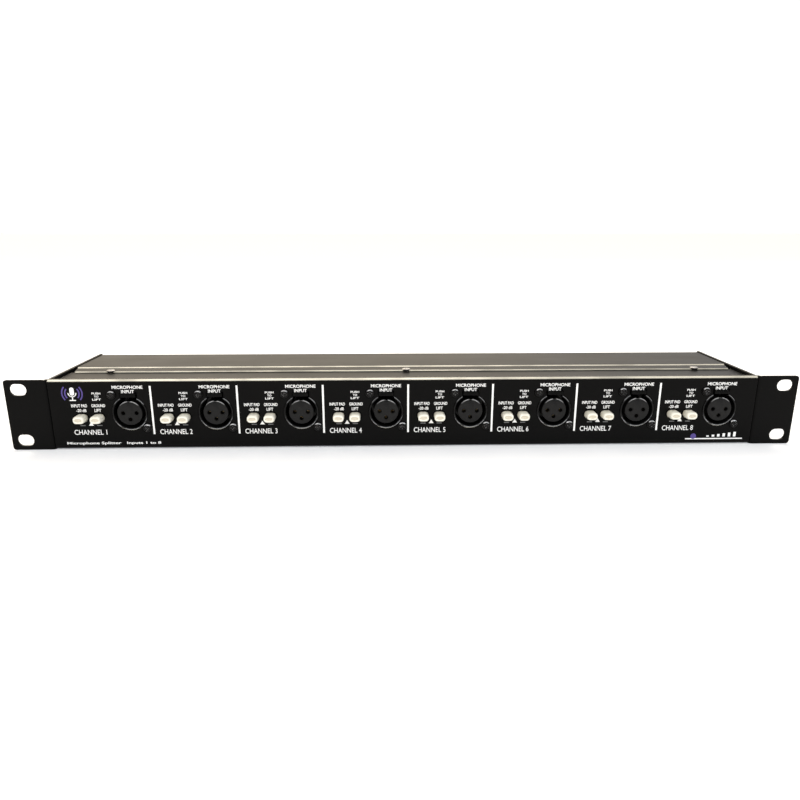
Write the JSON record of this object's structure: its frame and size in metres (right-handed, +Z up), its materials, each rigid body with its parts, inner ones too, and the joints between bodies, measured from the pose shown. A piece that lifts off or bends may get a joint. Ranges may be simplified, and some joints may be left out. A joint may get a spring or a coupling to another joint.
{
  "type": "rack-mount microphone splitter",
  "caption": "Rack-mount microphone splitter: a long low steel case with bent ears, latching female sockets and push buttons along its front, and male sockets behind.",
  "frame": {"origin": "centre of the footprint, on the plane the unit stands on", "axes": "+X to the right along the front panel, +Y from the front panel to the rear, +Z up"},
  "size_m": [0.4826, 0.09, 0.0437],
  "materials": {
    "black_paint": "satin black powder coat on folded steel sheet",
    "plated_steel": "zinc-plated steel sheet",
    "black_plastic": "matt black glass-filled nylon",
    "latch_plastic": "smooth black plastic",
    "ivory_plastic": "ivory moulded plastic",
    "circuit_board": "green solder resist on glass-epoxy board",
    "laminated_iron": "varnished laminated core with taped winding",
    "black_screw_steel": "black oxide steel"
  },
  "bodies": {
    "case": {"front_panel": "black_paint", "top_cover": "black_paint", "rear_panel": "black_paint", "side_plate_left": "black_paint", "side_plate_right": "black_paint", "base_tray": "plated_steel", "main_circuit_board": "circuit_board", "input_socket_1": "black_plastic", "output_pair_1": "black_plastic", "transformer_1": "laminated_iron", "input_socket_2": "black_plastic", "output_pair_2": "black_plastic", "transformer_2": "laminated_iron", "input_socket_3": "black_plastic", "output_pair_3": "black_plastic", "transformer_3": "laminated_iron", "input_socket_4": "black_plastic", "output_pair_4": "black_plastic", "transformer_4": "laminated_iron", "input_socket_5": "black_plastic", "output_pair_5": "black_plastic", "transformer_5": "laminated_iron", "input_socket_6": "black_plastic", "output_pair_6": "black_plastic", "transformer_6": "laminated_iron", "input_socket_7": "black_plastic", "output_pair_7": "black_plastic", "transformer_7": "laminated_iron", "input_socket_8": "black_plastic", "output_pair_8": "black_plastic", "transformer_8": "laminated_iron", "cover_screw_left": "black_screw_steel", "cover_screw_centre": "black_screw_steel", "cover_screw_right": "black_screw_steel", "rear_cover_screw_left": "black_screw_steel", "rear_cover_screw_right": "black_screw_steel"},
    "latch_body_1": {"latch_1": "latch_plastic"},
    "latch_body_2": {"latch_2": "latch_plastic"},
    "latch_body_3": {"latch_3": "latch_plastic"},
    "latch_body_4": {"latch_4": "latch_plastic"},
    "latch_body_5": {"latch_5": "latch_plastic"},
    "latch_body_6": {"latch_6": "latch_plastic"},
    "latch_body_7": {"latch_7": "latch_plastic"},
    "latch_body_8": {"latch_8": "latch_plastic"},
    "pad_button_body_1": {"pad_button_1": "ivory_plastic"},
    "pad_button_body_2": {"pad_button_2": "ivory_plastic"},
    "pad_button_body_3": {"pad_button_3": "ivory_plastic"},
    "pad_button_body_4": {"pad_button_4": "ivory_plastic"},
    "pad_button_body_5": {"pad_button_5": "ivory_plastic"},
    "pad_button_body_6": {"pad_button_6": "ivory_plastic"},
    "pad_button_body_7": {"pad_button_7": "ivory_plastic"},
    "pad_button_body_8": {"pad_button_8": "ivory_plastic"},
    "ground_lift_button_body_1": {"ground_lift_button_1": "ivory_plastic"},
    "ground_lift_button_body_2": {"ground_lift_button_2": "ivory_plastic"},
    "ground_lift_button_body_3": {"ground_lift_button_3": "ivory_plastic"},
    "ground_lift_button_body_4": {"ground_lift_button_4": "ivory_plastic"},
    "ground_lift_button_body_5": {"ground_lift_button_5": "ivory_plastic"},
    "ground_lift_button_body_6": {"ground_lift_button_6": "ivory_plastic"},
    "ground_lift_button_body_7": {"ground_lift_button_7": "ivory_plastic"},
    "ground_lift_button_body_8": {"ground_lift_button_8": "ivory_plastic"}
  },
  "joints": [
    {"name": "latch_1_push", "type": "slide", "parent": "case", "child": "latch_body_1", "axis": [0, 1, 0], "range_m": [0, 0.0015], "stiffness_N_per_m": 800},
    {"name": "latch_2_push", "type": "slide", "parent": "case", "child": "latch_body_2", "axis": [0, 1, 0], "range_m": [0, 0.0015], "stiffness_N_per_m": 800},
    {"name": "latch_3_push", "type": "slide", "parent": "case", "child": "latch_body_3", "axis": [0, 1, 0], "range_m": [0, 0.0015], "stiffness_N_per_m": 800},
    {"name": "latch_4_push", "type": "slide", "parent": "case", "child": "latch_body_4", "axis": [0, 1, 0], "range_m": [0, 0.0015], "stiffness_N_per_m": 800},
    {"name": "latch_5_push", "type": "slide", "parent": "case", "child": "latch_body_5", "axis": [0, 1, 0], "range_m": [0, 0.0015], "stiffness_N_per_m": 800},
    {"name": "latch_6_push", "type": "slide", "parent": "case", "child": "latch_body_6", "axis": [0, 1, 0], "range_m": [0, 0.0015], "stiffness_N_per_m": 800},
    {"name": "latch_7_push", "type": "slide", "parent": "case", "child": "latch_body_7", "axis": [0, 1, 0], "range_m": [0, 0.0015], "stiffness_N_per_m": 800},
    {"name": "latch_8_push", "type": "slide", "parent": "case", "child": "latch_body_8", "axis": [0, 1, 0], "range_m": [0, 0.0015], "stiffness_N_per_m": 800},
    {"name": "pad_button_1_push", "type": "slide", "parent": "case", "child": "pad_button_body_1", "axis": [0, 1, 0], "range_m": [0, 0.003], "stiffness_N_per_m": 600},
    {"name": "pad_button_2_push", "type": "slide", "parent": "case", "child": "pad_button_body_2", "axis": [0, 1, 0], "range_m": [0, 0.003], "stiffness_N_per_m": 600},
    {"name": "pad_button_3_push", "type": "slide", "parent": "case", "child": "pad_button_body_3", "axis": [0, 1, 0], "range_m": [0, 0.003], "stiffness_N_per_m": 600},
    {"name": "pad_button_4_push", "type": "slide", "parent": "case", "child": "pad_button_body_4", "axis": [0, 1, 0], "range_m": [0, 0.003], "stiffness_N_per_m": 600},
    {"name": "pad_button_5_push", "type": "slide", "parent": "case", "child": "pad_button_body_5", "axis": [0, 1, 0], "range_m": [0, 0.003], "stiffness_N_per_m": 600},
    {"name": "pad_button_6_push", "type": "slide", "parent": "case", "child": "pad_button_body_6", "axis": [0, 1, 0], "range_m": [0, 0.003], "stiffness_N_per_m": 600},
    {"name": "pad_button_7_push", "type": "slide", "parent": "case", "child": "pad_button_body_7", "axis": [0, 1, 0], "range_m": [0, 0.003], "stiffness_N_per_m": 600},
    {"name": "pad_button_8_push", "type": "slide", "parent": "case", "child": "pad_button_body_8", "axis": [0, 1, 0], "range_m": [0, 0.003], "stiffness_N_per_m": 600},
    {"name": "ground_lift_button_1_push", "type": "slide", "parent": "case", "child": "ground_lift_button_body_1", "axis": [0, 1, 0], "range_m": [0, 0.003], "stiffness_N_per_m": 600},
    {"name": "ground_lift_button_2_push", "type": "slide", "parent": "case", "child": "ground_lift_button_body_2", "axis": [0, 1, 0], "range_m": [0, 0.003], "stiffness_N_per_m": 600},
    {"name": "ground_lift_button_3_push", "type": "slide", "parent": "case", "child": "ground_lift_button_body_3", "axis": [0, 1, 0], "range_m": [0, 0.003], "stiffness_N_per_m": 600},
    {"name": "ground_lift_button_4_push", "type": "slide", "parent": "case", "child": "ground_lift_button_body_4", "axis": [0, 1, 0], "range_m": [0, 0.003], "stiffness_N_per_m": 600},
    {"name": "ground_lift_button_5_push", "type": "slide", "parent": "case", "child": "ground_lift_button_body_5", "axis": [0, 1, 0], "range_m": [0, 0.003], "stiffness_N_per_m": 600},
    {"name": "ground_lift_button_6_push", "type": "slide", "parent": "case", "child": "ground_lift_button_body_6", "axis": [0, 1, 0], "range_m": [0, 0.003], "stiffness_N_per_m": 600},
    {"name": "ground_lift_button_7_push", "type": "slide", "parent": "case", "child": "ground_lift_button_body_7", "axis": [0, 1, 0], "range_m": [0, 0.003], "stiffness_N_per_m": 600},
    {"name": "ground_lift_button_8_push", "type": "slide", "parent": "case", "child": "ground_lift_button_body_8", "axis": [0, 1, 0], "range_m": [0, 0.003], "stiffness_N_per_m": 600}
  ]
}
